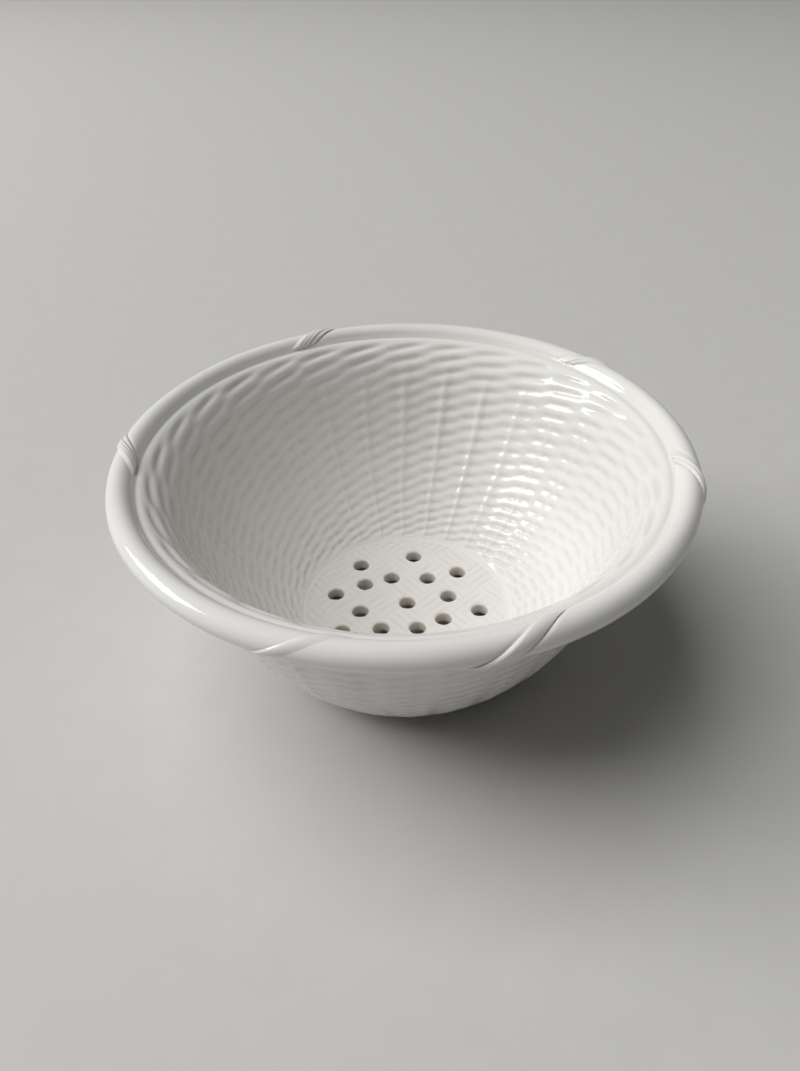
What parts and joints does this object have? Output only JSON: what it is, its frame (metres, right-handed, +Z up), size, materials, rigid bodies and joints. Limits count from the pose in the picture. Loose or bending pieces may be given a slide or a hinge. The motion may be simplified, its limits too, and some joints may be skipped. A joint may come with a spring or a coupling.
{
  "type": "ceramic colander",
  "caption": "Round glazed ceramic colander in basket form: woven relief wall, flat pierced floor, low foot ring and a thick rolled rim crossed by cord lashings, for rinsing and draining food.",
  "frame": {"origin": "centre of the foot ring's flat underside, where the colander stands", "axes": "+Z up along the bowl's axis; +Y is away from the picture's camera and +X is to its right"},
  "size_m": [0.2109, 0.21, 0.0936],
  "materials": {
    "wall_glaze": "glossy white glaze pooled in a woven relief",
    "rim_glaze": "smooth glossy white glaze",
    "floor_glaze": "glossy white glaze over a herringbone texture",
    "bare_foot": "bare fired clay on the standing face, glazed sides"
  },
  "bodies": {
    "root": {"foot_ring": "bare_foot", "pierced_floor": "floor_glaze", "woven_wall": "wall_glaze", "rim_roll": "rim_glaze", "rim_lashing_1": "rim_glaze", "rim_lashing_2": "rim_glaze", "rim_lashing_3": "rim_glaze", "rim_lashing_4": "rim_glaze", "rim_lashing_5": "rim_glaze", "rim_lashing_6": "rim_glaze"}
  },
  "joints": []
}
